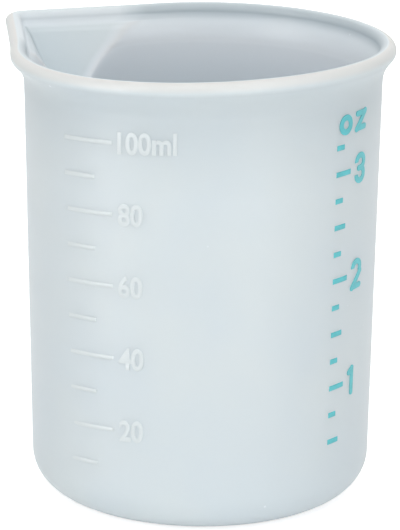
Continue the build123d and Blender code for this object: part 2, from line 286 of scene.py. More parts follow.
class CupForm:
    """The cup's section, worked out from the moulding's sizes."""

    def __init__(self, sizes):
        self.sizes = sizes
        self.slope = tan(sizes.draft)
        self.inner_base = sizes.base_radius - sizes.wall / cos(sizes.draft)
        self.floor_radius = self.inner(sizes.floor)
        corner = sizes.corner_radius - sizes.wall
        corner_area = (1 - pi / 4) * corner ** 2
        self.corner_loss = 2 * pi * corner_area * (self.floor_radius - CORNER_CENTROID_SHARE * corner)
        self.bead_z = sizes.height - sizes.bead_radius
        self.bead_path = sizes.rim_radius - sizes.bead_radius
        lean, turn = sizes.draft, sizes.flare_angle
        end_radius = self.bead_path + sizes.bead_radius * cos(turn)
        end_z = self.bead_z - sizes.bead_radius * sin(turn)
        self.flare_radius = (end_radius - self.outer(end_z)) / (
            cos(lean) - cos(turn) - self.slope * (sin(turn) - sin(lean))
        )
        self.flare_start = end_z - self.flare_radius * (sin(turn) - sin(lean))
        self.flare_x = self.outer(self.flare_start) + self.flare_radius * cos(lean)
        self.flare_z = self.flare_start - self.flare_radius * sin(lean)
        self.reference_radius = self.outer(sizes.height / 2)

    def outer(self, z):
        """The wall's outside radius at a height."""
        return self.sizes.base_radius + self.slope * z

    def inner(self, z):
        """The wall's inside radius at a height."""
        return self.inner_base + self.slope * z

    def fill_height(self, volume):
        """The height of the surface when the cup holds this volume."""
        cubed = self.floor_radius ** 3 + 3 * self.slope * (volume + self.corner_loss) / pi
        return (cubed ** (1 / 3) - self.inner_base) / self.slope

    def flare_point(self, radius, turn):
        """A point on an arc of the flare, where the wall has turned out this far."""
        return (self.flare_x - radius * cos(turn), self.flare_z + radius * sin(turn))

    def spout_at(self, level):
        """The spout's level section: how far out its tip's centre lies, and its flanks' angle."""
        sizes = self.sizes
        root_z = sizes.height - sizes.root_depth
        share = (level - root_z) / (self.bead_z - root_z)
        root_reach = self.inner(root_z) - sizes.valley_radius - sizes.root_setback
        tip_reach = sizes.spout_length - sizes.tip_radius
        tip_path = sizes.tip_radius - sizes.bead_radius
        rim_angle = acos((self.bead_path - tip_path) / tip_reach) + sizes.pinch
        rim_heel = (sizes.valley_radius + tip_reach * cos(rim_angle)) * cos(rim_angle)
        runs = []
        for reach, half_angle, heel in (
            (root_reach, sizes.root_half_angle, sizes.root_heel),
            (tip_reach, rim_angle, rim_heel),
        ):
            tip = Vector((cos(half_angle), sin(half_angle))) * sizes.valley_radius + Vector((reach, 0))
            heel_half = (sizes.valley_radius + (reach - heel) * cos(half_angle)) / sin(half_angle)
            runs.append(tip - Vector((heel, heel_half)))
        run = runs[0].lerp(runs[1], max(share, 0))
        return root_reach + (tip_reach - root_reach) * share, atan2(run.x, -run.y)

    def section(self):
        """Rows of radius, height, gap to the valley line, level on the spout and painted light and shade,
        from pole to pole.
        """
        sizes = self.sizes
        root_z = sizes.height - sizes.root_depth
        bead_angle = -sizes.flare_angle
        flank = sizes.flank_thickness
        tip_gap = sizes.tip_radius - sizes.bead_radius - sizes.valley_radius + sizes.bead_stand_out
        corner = sizes.corner_radius
        corner_x = self.outer(corner) - corner
        rows = [(x, 0, flank, 0, 0) for x in spread(0, corner_x, FLOOR_ROWS)]
        for turn in spread(-pi / 2, 0, CORNER_ROWS)[1:]:
            rows.append((corner_x + corner * cos(turn), corner * (1 + sin(turn)), flank, 0, 0))
        low_wall = spread(corner, root_z - flank, LOW_WALL_ROWS)
        high_wall = spread(root_z - flank, self.flare_start, HIGH_WALL_ROWS)
        for z in low_wall[1:] + high_wall[1:]:
            rows.append((self.outer(z), z, flank, z, between(WALL_PAINTED_SHADE, z / sizes.height)))
        joint_gap = tip_gap + sizes.bead_radius * cos(bead_angle)
        turns = spread(sizes.draft, sizes.flare_angle, FLARE_ROWS)
        for i, turn in enumerate(turns[1:]):
            x, z = self.flare_point(self.flare_radius, turn)
            painted_shading = between(WALL_PAINTED_SHADE, z / sizes.height)
            rows.append((x, z, flank + (joint_gap - flank) * (i + 1) / len(turns), z, painted_shading))

        # The bead runs from where the flare meets it, over the top, and eases back into the flare
        across = self.flare_radius + sizes.bead_radius
        inside = self.flare_radius + sizes.wall
        back = acos((across ** 2 + inside ** 2 - sizes.bead_radius ** 2) / (2 * across * inside))
        for turn in spread(bead_angle, pi, BEAD_ROWS):
            out = sizes.bead_radius * cos(turn)
            up = sizes.bead_radius * sin(turn)
            painted_shading = between(BEAD_PAINTED_LIGHT_AND_SHADE, degrees(turn))
            rows.append((self.bead_path + out, self.bead_z + up, tip_gap + out, self.bead_z, painted_shading))
        bead_end = Vector(rows[-1][:2])
        bead_gap = rows[-1][2]
        flare_turn = sizes.flare_angle - back - sizes.run_out / inside
        flare_end = Vector(self.flare_point(inside, flare_turn))
        handle = (bead_end - flare_end).length * HANDLE_SHARE
        bead_handle = bead_end - Vector((0, handle))
        flare_handle = flare_end + Vector((sin(flare_turn), cos(flare_turn))) * handle
        for share in spread(0, 1, FILLET_ROWS)[1:-1]:
            rest = 1 - share
            spot = (
                bead_end * rest ** 3 + bead_handle * 3 * rest ** 2 * share
                + flare_handle * 3 * rest * share ** 2 + flare_end * share ** 3
            )
            gap = bead_gap * max(1 - share * GAP_CLOSING, 0)
            level = self.bead_z + (spot.y - self.bead_z) * share
            rows.append((spot.x, spot.y, gap, level, between(FILLET_PAINTED_SHADE, share)))

        for turn in spread(flare_turn, sizes.draft, INNER_FLARE_ROWS):
            x, z = self.flare_point(inside, turn)
            rows.append((x, z, 0, z, FILLET_PAINTED_SHADE[-1][1] * turn / flare_turn))
        corner -= sizes.wall
        corner_z = sizes.floor + corner
        high_wall = spread(rows[-1][1], root_z, HIGH_WALL_ROWS)
        low_wall = spread(root_z, corner_z, LOW_WALL_ROWS)
        for z in high_wall[1:] + low_wall[1:]:
            rows.append((self.inner(z), z, 0, z, between(INSIDE_PAINTED_SHADE, z / sizes.height)))
        corner_x = self.inner(corner_z) - corner
        for turn in spread(0, -pi / 2, INNER_CORNER_ROWS)[1:]:
            rows.append((corner_x + corner * cos(turn), corner_z + corner * sin(turn), 0, 0, 0))
        rows += [(x, sizes.floor, 0, 0, 0) for x in spread(corner_x, 0, FLOOR_ROWS)[1:]]
        return rows


def feed(tree, node, inputs):
    """Sets or links a node's inputs, in order or by name."""
    pairs = inputs.items() if isinstance(inputs, dict) else enumerate(inputs)
    for key, value in pairs:
        if isinstance(value, bpy.types.NodeSocket):
            tree.links.new(value, node.inputs[key])
        elif isinstance(value, bpy.types.Node):
            tree.links.new(value.outputs[0], node.inputs[key])
        elif value is not None:
            node.inputs[key].default_value = value


def add(tree, kind, inputs=(), **settings):
    """Adds a node with its settings, then sets or links its inputs."""
    node = tree.nodes.new(kind)
    for name, value in settings.items():
        setattr(node, name, value)
    feed(tree, node, inputs)
    return node


def new_tree(name, inputs):
    """A geometry tree with named inputs between its geometry and its material, and its two end nodes."""
    tree = bpy.data.node_groups.new(name, "GeometryNodeTree")
    tree.interface.new_socket("Geometry", in_out="OUTPUT", socket_type="NodeSocketGeometry")
    for label in ("Geometry", *inputs, "Material"):
        kind = SOCKET_KINDS.get(label, "NodeSocketFloat")
        tree.interface.new_socket(label, in_out="INPUT", socket_type=kind)
    given = tree.nodes.new("NodeGroupInput").outputs
    result = tree.nodes.new("NodeGroupOutput")
    return tree, given, result


def end_tree(tree, geometry, given, result):
    """Ends a tree in plain, smooth, finished geometry."""
    smooth = add(tree, "GeometryNodeSetShadeSmooth", (geometry,))
    plain = add(tree, "GeometryNodeRealizeInstances", (smooth,))
    finished = add(tree, "GeometryNodeSetMaterial", (plain, None, given["Material"]))
    feed(tree, result, (finished,))


def grow(name, mesh, tree, values):
    """Runs a geometry tree on a mesh and keeps the result as one plain mesh at the origin."""
    piece = bpy.data.objects.new(name, mesh)
    bpy.context.scene.collection.objects.link(piece)
    modifier = piece.modifiers.new(tree.name, "NODES")
    modifier.node_group = tree
    for item in tree.interface.items_tree:
        if item.in_out == "INPUT" and item.name in values:
            modifier[item.identifier] = values[item.name]
    graph = bpy.context.evaluated_depsgraph_get()
    grown = bpy.data.meshes.new_from_object(piece.evaluated_get(graph))
    if not grown.polygons:
        raise RuntimeError(f"{name} came out of {tree.name} without a face")
    piece.modifiers.clear()
    piece.data = grown
    grown.name = name
    return piece


def round_axis(tree, turn, radius):
    """The X and the Y at a bearing and a radius."""
    east = add(tree, MATH, (turn,), operation="COSINE")
    north = add(tree, MATH, (turn,), operation="SINE")
    x = add(tree, MATH, (radius, east), operation="MULTIPLY")
    y = add(tree, MATH, (radius, north), operation="MULTIPLY")
    return x, y


def wall_tree():
    """Wraps a flat layout, X along, Y up and Z out, round the cup's wall."""
    existing = bpy.data.node_groups.get("wrap_round_wall")
    if existing:
        return existing
    tree, given, result = new_tree("wrap_round_wall", WALL_INPUTS)
    place = add(tree, "ShaderNodeSeparateXYZ", (add(tree, "GeometryNodeInputPosition"),)).outputs
    past_pivot = add(tree, MATH, (place["X"], given["Pivot"]), operation="SUBTRACT")
    level = add(tree, MATH, (past_pivot, given["Lean"], place["Y"]), operation="MULTIPLY_ADD")
    sweep = add(tree, MATH, (place["X"], given["Reference Radius"]), operation="DIVIDE")
    turn = add(tree, MATH, (sweep, given["Bearing"]), operation="ADD")
    wall = add(tree, MATH, (level, given["Slope"], given["Base Radius"]), operation="MULTIPLY_ADD")
    radius = add(tree, MATH, (wall, place["Z"]), operation="ADD")
    x, y = round_axis(tree, turn, radius)
    position = add(tree, "ShaderNodeCombineXYZ", (x, y, level))
    joined = add(tree, "GeometryNodeMergeByDistance", (given["Geometry"], None, WELD))
    wrapped = add(tree, "GeometryNodeSetPosition", (joined, None, position))
    end_tree(tree, wrapped, given, result)
    return tree


def tick_tree():
    """Sets a bar with a domed face on each point, then wraps the bars round the wall."""
    existing = bpy.data.node_groups.get("tick_bars")
    if existing:
        return existing
    tree, given, result = new_tree("tick_bars", (
        "Length", "Height", "Relief", "Sink", "Left Relief", "Dome", *WALL_INPUTS,
    ))
    block = add(tree, "GeometryNodeMeshCube", ((1.0, 1.0, 1.0), *TICK_POINTS))
    place = add(tree, "ShaderNodeSeparateXYZ", (add(tree, "GeometryNodeInputPosition"),)).outputs
    share = add(tree, MATH, (place["X"], 0.5), operation="ADD")
    x = add(tree, MATH, (share, given["Length"]), operation="MULTIPLY")
    y = add(tree, MATH, (place["Y"], given["Height"]), operation="MULTIPLY")

    # The face falls off to its long edges and its ends, and is lower at the left
    falls = []
    for along, sharpness in ((place["Y"], given["Dome"]), (place["X"], END_SHARPNESS)):
        off_centre = add(tree, MATH, (along,), operation="ABSOLUTE")
        off_centre = add(tree, MATH, (off_centre, 2.0), operation="MULTIPLY")
        falls.append(add(tree, MATH, (off_centre, sharpness), operation="POWER"))
    both = add(tree, MATH, falls, operation="MAXIMUM")
    crown = add(tree, MATH, (1.0, both), operation="SUBTRACT")
    slant = add(tree, "ShaderNodeMapRange", (share, 0.0, SLANT_SHARE, given["Left Relief"], 1.0))
    face = add(tree, MATH, (crown, slant), operation="MULTIPLY")
    face = add(tree, MATH, (face, given["Relief"]), operation="MULTIPLY")
    under = add(tree, MATH, (given["Sink"], -1.0), operation="MULTIPLY")
    on_face = add(tree, MATH, (place["Z"], 0.0), operation="GREATER_THAN")
    z = add(tree, "GeometryNodeSwitch", (on_face, under, face), input_type="FLOAT")
    position = add(tree, "ShaderNodeCombineXYZ", (x, y, z))
    bar = add(tree, "GeometryNodeSetPosition", (block, None, position))
    points = add(tree, "GeometryNodeMeshToPoints", (given["Geometry"],))
    bars = add(tree, "GeometryNodeInstanceOnPoints", {"Points": points, "Instance": bar})
    plain = add(tree, "GeometryNodeRealizeInstances", (bars,))
    passed = {name: given[name] for name in (*WALL_INPUTS, "Material")}
    wrapped = add(tree, "GeometryNodeGroup", node_tree=wall_tree())
    feed(tree, wrapped, {"Geometry": plain, **passed})
    end_tree(tree, wrapped, given, result)
    return tree


def moulding_tree():
    """Sweeps the cup's section round its axis and draws the spout out of it."""
    tree, given, result = new_tree("sweep_and_draw_spout", (
        "Columns", "Crowding", "Soft Start", "Height", "Sag", "Tilt", "Tilt From Spout", "Saddle",
        "Saddle From Spout", "Spread", "Oval", "Oval From Spout", "Unevenness", "Line Width", "Painted Highlight Line",
        "Painted Shade Line", "Fade",
    ))
    section = given["Geometry"]
    rows = add(tree, "GeometryNodeAttributeDomainSize", (section,), component="MESH")
    columns = add(tree, "FunctionNodeIntegerMath", (given["Columns"], 1), operation="ADD")
    sheet = add(tree, "GeometryNodeMeshGrid", (1.0, 1.0, columns, rows))
    index = add(tree, "GeometryNodeInputIndex")
    column = add(tree, "FunctionNodeIntegerMath", (index, rows), operation="DIVIDE_FLOOR")
    row = add(tree, "FunctionNodeIntegerMath", (index, rows), operation="MODULO")

    place = add(tree, "GeometryNodeSampleIndex", (section, add(tree, "GeometryNodeInputPosition"), row),
                data_type="FLOAT_VECTOR")
    profile = add(tree, "ShaderNodeSeparateXYZ", (place,)).outputs
    carried = {}
    for name in CARRIED:
        stored = add(tree, "GeometryNodeInputNamedAttribute", (name,), data_type="FLOAT")
        carried[name] = add(tree, "GeometryNodeSampleIndex", (section, stored, row), data_type="FLOAT")

    # The bearing from the spout, with the columns crowded there
    share = add(tree, MATH, (column, given["Columns"]), operation="DIVIDE")
    even = add(tree, MATH, (share, 2 * pi), operation="MULTIPLY")
    wave = add(tree, MATH, (even,), operation="SINE")
    drawn = add(tree, MATH, (wave, given["Crowding"]), operation="MULTIPLY")
    turn = add(tree, MATH, (even, drawn), operation="SUBTRACT")
    side = add(tree, MATH, (turn, pi), operation="PINGPONG")

    # The flank is a straight line in plan: its distance along a ray grows as the ray leaves the normal
    off = add(tree, MATH, (side, carried["flank_angle"]), operation="SUBTRACT")
    facing = add(tree, MATH, (off,), operation="COSINE")
    facing = add(tree, MATH, (facing, LEAST_FACING), operation="MAXIMUM")
    past = add(tree, MATH, (off,), operation="SIGN")
    bent = add(tree, MATH, (facing, past), operation="POWER")
    flank_cos = add(tree, MATH, (carried["flank_angle"],), operation="COSINE")
    flank_sin = add(tree, MATH, (carried["flank_angle"],), operation="SINE")
    tip_reach = carried["tip_reach"]
    tip_radius = carried["tip_radius"]
    support = add(tree, MATH, (tip_reach, flank_cos, tip_radius), operation="MULTIPLY_ADD")
    flank = add(tree, MATH, (support, bent), operation="MULTIPLY")

    # The tip is round between the two flanks
    ray_cos = add(tree, MATH, (side,), operation="COSINE")
    ray_sin = add(tree, MATH, (side,), operation="SINE")
    beside = add(tree, MATH, (tip_reach, ray_sin), operation="MULTIPLY")
    beside_squared = add(tree, MATH, (beside, beside), operation="MULTIPLY")
    radius_squared = add(tree, MATH, (tip_radius, tip_radius), operation="MULTIPLY")
    depth_squared = add(tree, MATH, (radius_squared, beside_squared), operation="SUBTRACT")
    depth_squared = add(tree, MATH, (depth_squared, 0.0), operation="MAXIMUM")
    depth = add(tree, MATH, (depth_squared,), operation="SQRT")
    tip = add(tree, MATH, (tip_reach, ray_cos, depth), operation="MULTIPLY_ADD")
    across = add(tree, MATH, (tip_radius, flank_sin), operation="MULTIPLY")
    along = add(tree, MATH, (tip_radius, flank_cos, tip_reach), operation="MULTIPLY_ADD")
    tip_sweep = add(tree, MATH, (across, along), operation="ARCTAN2")
    on_tip = add(tree, "FunctionNodeCompare", (side, tip_sweep), data_type="FLOAT", operation="LESS_THAN")
    spout = add(tree, "GeometryNodeSwitch", (on_tip, flank, tip), input_type="FLOAT")

    # The wall or the spout, whichever stands further out, with the crease between them softened
    excess = add(tree, MATH, (spout, profile["X"]), operation="SUBTRACT")
    excess_squared = add(tree, MATH, (excess, excess), operation="MULTIPLY")
    crease = carried["crease"]
    soft_squared = add(tree, MATH, (crease, crease, excess_squared), operation="MULTIPLY_ADD")
    rounded = add(tree, MATH, (soft_squared,), operation="SQRT")
    doubled = add(tree, MATH, (rounded, excess), operation="ADD")
    radius = add(tree, MATH, (doubled, 0.5, profile["X"]), operation="MULTIPLY_ADD")

    # Cast silicone is never quite true
    x, y = round_axis(tree, turn, CUP_HIGH.x)
    spot = add(tree, "ShaderNodeCombineXYZ", (x, y, profile["Z"]))
    wander = add(tree, "ShaderNodeTexNoise", {"Vector": spot, "Scale": WANDER_SCALE, "Detail": 1.0},
                 noise_dimensions="3D")
    centred = add(tree, MATH, (wander, 0.5), operation="SUBTRACT")
    pushed = add(tree, MATH, (centred, given["Unevenness"]), operation="MULTIPLY")
    off_middle = add(tree, MATH, (profile["X"], CUP_HIGH.x / 2), operation="GREATER_THAN")
    radius = add(tree, MATH, (pushed, off_middle, radius), operation="MULTIPLY_ADD")

    # The soft rim tips, bends and spreads a little
    slack = add(tree, "ShaderNodeMapRange", (profile["Z"], given["Soft Start"], given["Height"], 0.0, 1.0),
                interpolation_type="SMOOTHSTEP")
    waves = {}
    for name, humps in (("Tilt", 1.0), ("Saddle", 2.0), ("Oval", 2.0)):
        lag = add(tree, MATH, (turn, given[name + " From Spout"]), operation="SUBTRACT")
        phase = add(tree, MATH, (lag, humps), operation="MULTIPLY")
        swing = add(tree, MATH, (phase,), operation="COSINE")
        waves[name] = add(tree, MATH, (swing, given[name]), operation="MULTIPLY")
    lifted = add(tree, MATH, (waves["Tilt"], waves["Saddle"]), operation="ADD")
    lifted = add(tree, MATH, (lifted, given["Sag"]), operation="SUBTRACT")
    z = add(tree, MATH, (lifted, slack, profile["Z"]), operation="MULTIPLY_ADD")
    opened = add(tree, MATH, (waves["Oval"], given["Spread"]), operation="ADD")
    radius = add(tree, MATH, (opened, slack, radius), operation="MULTIPLY_ADD")
    toward_spout = add(tree, MATH, (radius, -1.0), operation="MULTIPLY")
    x, y = round_axis(tree, turn, toward_spout)
    position = add(tree, "ShaderNodeCombineXYZ", (x, y, z))
    shaped = add(tree, "GeometryNodeSetPosition", (sheet, None, position))

    # Inside, a painted highlight runs along the spout's crease with the wall, and painted shade along its
    # valley line
    off_crease = add(tree, MATH, (excess, given["Line Width"]), operation="DIVIDE")
    off_squared = add(tree, MATH, (off_crease, off_crease), operation="MULTIPLY")
    falling = add(tree, MATH, (off_squared, 1.0), operation="ADD")
    nearness = add(tree, MATH, (1.0, falling), operation="DIVIDE")
    painted_highlight = add(tree, MATH, (nearness, given["Painted Highlight Line"]), operation="MULTIPLY")
    on_spout = add(tree, MATH, (excess, given["Line Width"]), operation="GREATER_THAN")
    off_valley = add(tree, MATH, (beside, given["Line Width"]), operation="DIVIDE")
    in_valley = add(tree, MATH, (1.0, off_valley), operation="SUBTRACT", use_clamp=True)
    painted_valley_shade = add(tree, MATH, (in_valley, on_spout), operation="MULTIPLY")
    painted_valley_shade = add(tree, MATH, (painted_valley_shade, given["Painted Shade Line"]), operation="MULTIPLY")
    painted_crease_lines = add(tree, MATH, (painted_highlight, painted_valley_shade), operation="SUBTRACT")
    # The painted shade under the rim fades out on the spout, and the painted light inside takes the spout's
    # own rows there
    past_crease = add(tree, MATH, (excess, given["Fade"]), operation="DIVIDE", use_clamp=True)
    faded = add(tree, MATH, (past_crease, carried["fading"]), operation="MULTIPLY")
    kept = add(tree, MATH, (1.0, faded), operation="SUBTRACT")
    row_painted_shading = add(tree, MATH, (carried["row_painted_shading"], kept), operation="MULTIPLY")
    painted_shading = add(tree, MATH, (painted_crease_lines, carried["inside"], row_painted_shading), operation="MULTIPLY_ADD")
    lit = add(tree, "ShaderNodeMix", (past_crease, None, carried["lit"], carried["spout_lit"]))
    told = shaped
    for name, value in (("painted_shading", painted_shading), ("lit", lit)):
        told = add(tree, "GeometryNodeStoreNamedAttribute",
                   {"Geometry": told, "Name": name, "Value": value}, data_type="FLOAT", domain="POINT")
    closed = add(tree, "GeometryNodeMergeByDistance", (told, None, WELD))
    end_tree(tree, closed, given, result)
    return tree


def new_material(name):
    """A material, with its tree, its shader and the place on the object that its textures read."""
    material = bpy.data.materials.new(name)
    material.use_nodes = True
    tree = material.node_tree
    place = add(tree, "ShaderNodeTexCoord").outputs["Object"]
    return material, tree, tree.nodes["Principled BSDF"], place


def silicone_material(name, plain, deep, painted_highlight, painted_shade_colour, lit, scatter):
    """Platinum-cure silicone, cast in a satin mould: milky and soft to light, with painted light and shade:
    paler where light falls on the bead, whose thick silicone is partly paler too, and greyer where shade
    falls.
    """
    material, tree, shader, place = new_material(name)
    # Cloudy filler, in soft patches
    clouds = add(tree, "ShaderNodeTexNoise", {"Vector": place, "Scale": 1 / CLOUD_SIZE, "Detail": 2.0})
    cloudy = add(tree, "ShaderNodeMapRange", (clouds, 0.35, 0.65, 0.0, 1.0))
    # Painted light: inside, a paler colour stands in for the light that the walls let through
    inside = add(tree, "ShaderNodeAttribute", attribute_name="lit").outputs["Fac"]
    # The mesh carries painted light and shade: paler where light falls on the bead, greyer where shade falls
    # under the rim, in creases and inside the cup
    painted_shading = add(tree, "ShaderNodeAttribute", attribute_name="painted_shading").outputs["Fac"]
    rise = add(tree, MATH, (painted_shading, 0.0), operation="MAXIMUM")
    fall = add(tree, MATH, (painted_shading, -1.0), operation="MULTIPLY", use_clamp=True)
    # Trapped air shows as a few fine pale specks
    air = add(tree, "ShaderNodeTexVoronoi", {"Vector": place, "Scale": 1 / AIR_SPACING})
    speck = add(tree, "ShaderNodeMapRange", (air, 0.015, 0.035, 0.8, 0.0))
    tint = plain
    for factor, other in ((cloudy, deep), (inside, lit), (rise, painted_highlight), (fall, painted_shade_colour), (speck, lit)):
        mixed = add(tree, "ShaderNodeMix", {"Factor": factor, COLOUR_A: tint, COLOUR_B: other},
                    data_type="RGBA")
        tint = mixed.outputs[COLOUR_OUT]
    # The mould's satin, drawn coarser than it is because its real grain is too fine to show
    grain = add(tree, "ShaderNodeTexNoise", {"Vector": place, "Scale": 1 / SATIN_GRAIN, "Detail": 3.0})
    bump = add(tree, "ShaderNodeBump", {"Strength": 0.08, "Distance": 0.05 * MM, "Height": grain})
    feed(tree, shader, {
        "Base Color": tint,
        "Normal": bump,
        "Roughness": 0.45,
        "IOR": 1.41,
        "Specular IOR Level": 0.25,
        "Subsurface Weight": 0.4 if scatter else 0.0,
        "Subsurface Radius": (1.0, 1.0, 1.0),
        "Subsurface Scale": scatter,
    })
    return material


def ink_material(name, ink):
    """Silicone screen ink: an opaque teal film with a soft gloss and a faintly uneven lay."""
    material, tree, shader, place = new_material(name)
    # The ink lies thinner in patches
    lay = add(tree, "ShaderNodeTexNoise", {"Vector": place, "Scale": 1 / INK_PATCH, "Detail": 3.0})
    shade = add(tree, "ShaderNodeMapRange", (lay, 0.3, 0.7, 0.92, 1.06))
    toned = add(tree, "ShaderNodeHueSaturation", {"Value": shade, "Color": ink})
    bump = add(tree, "ShaderNodeBump", {"Strength": 0.15, "Distance": 0.03 * MM, "Height": lay})
    feed(tree, shader, {"Base Color": toned, "Normal": bump, "Roughness": 0.38, "IOR": 1.43})
    return material


def seen_plainly(tree):
    """1 for the rays that show a thing itself, and 0 for those that gather its light for others."""
    path = add(tree, "ShaderNodeLightPath").outputs
    seen = add(tree, MATH, (path["Is Camera Ray"], path["Is Glossy Ray"]), operation="MAXIMUM")
    return add(tree, MATH, (seen, path["Is Transmission Ray"]), operation="MAXIMUM")


def wall_values(form, bearing, material, lean=0.0, pivot=0.0):
    """What every tree that wraps onto the wall needs."""
    return {
        "Base Radius": form.sizes.base_radius,
        "Slope": form.slope,
        "Reference Radius": form.reference_radius,
        "Bearing": bearing,
        "Lean": lean,
        "Pivot": pivot,
        "Material": material,
    }


class MIXCUP_OT_mould_cup(bpy.types.Operator):
    """Moulds the silicone cup: floor, wall, flare, bead and spout in one piece"""
    bl_idname = "mixcup.mould_cup"
    bl_label = "Mould Cup"

    def execute(self, context):
        sizes = context.scene.cup_moulding
        finish = context.scene.cup_finish
        form = CupForm(sizes)
        rows = form.section()
        section = bpy.data.meshes.new("cup_section")
        edges = [(i, i + 1) for i in range(len(rows) - 1)]
        section.from_pydata([(row[0], 0, row[1]) for row in rows], edges, [])
        root_z = sizes.height - sizes.root_depth
        lip_row = max(range(len(rows)), key=lambda i: rows[i][1])
        carried = {name: [] for name in CARRIED}
        for i, (x, z, gap, level, painted_shading) in enumerate(rows):
            reach, flank_angle = form.spout_at(level)
            on_floor = level == 0
            carried["tip_reach"].append(0 if on_floor else reach)
            carried["tip_radius"].append(0 if on_floor else sizes.valley_radius + gap)
            carried["flank_angle"].append(flank_angle)
            rise = (level - root_z + sizes.flank_thickness) / sizes.flank_thickness
            carried["crease"].append(sizes.crease * min(max(rise, 0), 1))
            # The row's painted light and shade, and whether its painted shade fades out on the spout
            carried["row_painted_shading"].append(painted_shading)
            carried["inside"].append(float(i > lip_row and gap < NO_GAP and not on_floor))
            carried["fading"].append(float(painted_shading < 0))
            carried["lit"].append(between(CUP_LIT, i - lip_row))
            carried["spout_lit"].append(between(SPOUT_LIT, i - lip_row))
        for name, values in carried.items():
            section.attributes.new(name, "FLOAT", "POINT").data.foreach_set("value", values)
        material = silicone_material(
            "cast_translucent_silicone", finish.silicone, finish.silicone_deep, finish.silicone_painted_highlight,
            finish.silicone_painted_shade, finish.silicone_lit, LIGHT_DEPTH,
        )
        cup = grow("silicone_cup", section, moulding_tree(), {
            "Columns": sizes.columns,
            "Crowding": sizes.crowding,
            "Soft Start": sizes.height - sizes.soft_depth,
            "Height": sizes.height,
            "Sag": sizes.sag,
            "Tilt": sizes.tilt,
            "Tilt From Spout": sizes.tilt_bearing - pi,
            "Saddle": sizes.saddle,
            "Saddle From Spout": sizes.saddle_bearing - pi,
            "Spread": sizes.spread,
            "Oval": sizes.oval,
            "Oval From Spout": sizes.oval_bearing - pi,
            "Unevenness": sizes.unevenness,
            "Line Width": sizes.line_width,
            "Painted Highlight Line": sizes.painted_highlight_line,
            "Painted Shade Line": sizes.painted_shade_line,
            "Fade": sizes.fade,
            "Material": material,
        })
        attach(cup, "root")
        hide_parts("cup_body")
        return {"FINISHED"}


def mark_points(name, heights):
    """A mesh of bare points, one for each mark, at its height."""
    points = bpy.data.meshes.new(name)
    points.from_pydata([(0, z, 0) for z in heights], [], [])
    return points


def lay_text(name, text, height, width_share, boldness, rise, depth, left, middle):
    """Lettering laid flat as a mesh: its left edge and its middle's height where they are asked for."""
    font = bpy.data.curves.new(name, "FONT")
    font.body = text
    font.size = (height - 2 * (boldness + rise)) / CAPITAL_SHARE
    font.offset = boldness
    font.extrude = depth / 2 - rise
    font.bevel_depth = rise
    font.bevel_resolution = 2
    font.resolution_u = 5
    holder = bpy.data.objects.new(name, font)
    bpy.context.scene.collection.objects.link(holder)
    graph = bpy.context.evaluated_depsgraph_get()
    graph.update()
    mesh = bpy.data.meshes.new_from_object(holder.evaluated_get(graph))
    bpy.data.objects.remove(holder)
    spots = [vertex.co for vertex in mesh.vertices]
    shift = Vector((-min(spot.x for spot in spots), -(min(spot.y for spot in spots) + height / 2), 0))
    mesh.transform(Matrix.Translation(shift))
    mesh.transform(Matrix.Diagonal((width_share, 1, 1, 1)))
    mesh.transform(Matrix.Translation((left, middle, 0)))
    return mesh


class MIXCUP_OT_raise_scale(bpy.types.Operator):
    """Raises the millilitre scale out of the wall: ticks at every mark, numbers at every second one"""
    bl_idname = "mixcup.raise_scale"
    bl_label = "Raise Millilitre Scale"

    def execute(self, context):
        sizes = context.scene.cup_raised_scale
        finish = context.scene.cup_finish
        form = CupForm(context.scene.cup_moulding)
        material = silicone_material(
            "raised_silicone_marks", finish.marks, finish.marks, finish.silicone_painted_highlight, finish.silicone_painted_shade,
            finish.marks, 0.0,
        )
        tick_end = sizes.long_sweep * form.reference_radius
        values = wall_values(form, sizes.bearing, material, sizes.lean, tick_end)
        marks = range(sizes.step, sizes.capacity + 1, sizes.step)
        held = form.fill_height((sizes.capacity - 2 * sizes.step) * MILLILITRE)
        heights = {
            mark: held + (form.fill_height(mark * MILLILITRE) - held) * sizes.pitch for mark in marks
        }
        rows = {
            "long": ([heights[mark] for mark in marks if mark % (2 * sizes.step) == 0], sizes.long_sweep),
            "short": ([heights[mark] for mark in marks if mark % (2 * sizes.step)], sizes.short_sweep),
        }
        for kind, (levels, sweep) in rows.items():
            ticks = grow(f"raised_{kind}_ticks", mark_points(f"{kind}_tick_points", levels), tick_tree(), {
                **values,
                "Length": sweep * form.reference_radius,
                "Height": sizes.tick_height,
                "Relief": sizes.relief,
                "Sink": sizes.sink,
                "Left Relief": sizes.left_relief,
                "Dome": sizes.dome,
            })
            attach(ticks, "root")
            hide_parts(f"{kind}_ticks")
        left = tick_end + sizes.numeral_gap * form.reference_radius
        for mark in marks:
            if mark % (2 * sizes.step):
                continue
            words = f"{mark}ml" if mark == sizes.capacity else f"{mark}"
            flat = lay_text(
                f"number_{words}", words, sizes.numeral_height, sizes.width_share, sizes.boldness,
                sizes.relief / 2, sizes.relief + sizes.sink, left, heights[mark],
            )
            flat.transform(Matrix.Translation((0, 0, (sizes.relief - sizes.sink) / 2)))
            digits = grow(f"raised_number_{words}", flat, wall_tree(), values)
            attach(digits, "root")
            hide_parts(f"numeral_{words}")
        return {"FINISHED"}


